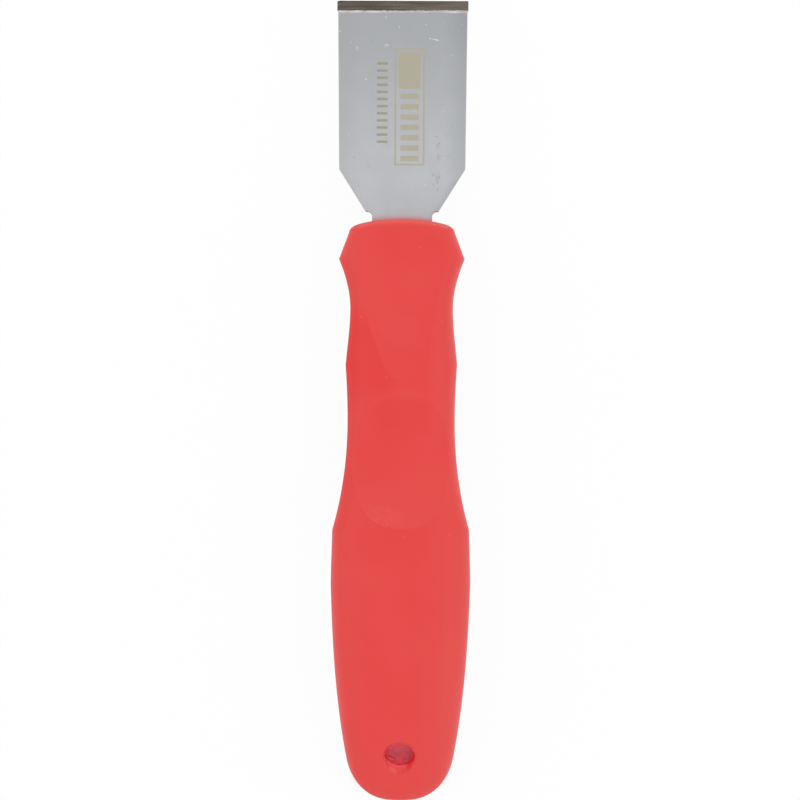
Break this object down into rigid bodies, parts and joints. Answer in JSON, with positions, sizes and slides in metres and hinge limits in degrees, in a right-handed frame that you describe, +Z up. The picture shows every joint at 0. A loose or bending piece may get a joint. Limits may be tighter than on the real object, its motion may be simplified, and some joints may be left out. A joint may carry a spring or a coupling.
{
  "type": "carbide scraper",
  "caption": "Hand scraper: flat steel blade with a brazed carbide edge, in a moulded plastic handle with thumb dishes, a finger groove, a flared collar and a hang hole.",
  "frame": {"origin": "middle of the tool's box in plan, on the surface that it lies on", "axes": "+Y along the tool towards the cutting edge, +Z up out of the upper face, +X across the blade"},
  "size_m": [0.0324, 0.1854, 0.02],
  "materials": {
    "blade_steel": "satin ground steel",
    "carbide": "dark ground sintered carbide",
    "solder": "bright silver solder",
    "handle_plastic": "satin moulded red"
  },
  "bodies": {
    "root": {"blade": "blade_steel", "carbide_tip": "carbide", "braze_seam": "solder", "handle": "handle_plastic"}
  },
  "joints": []
}
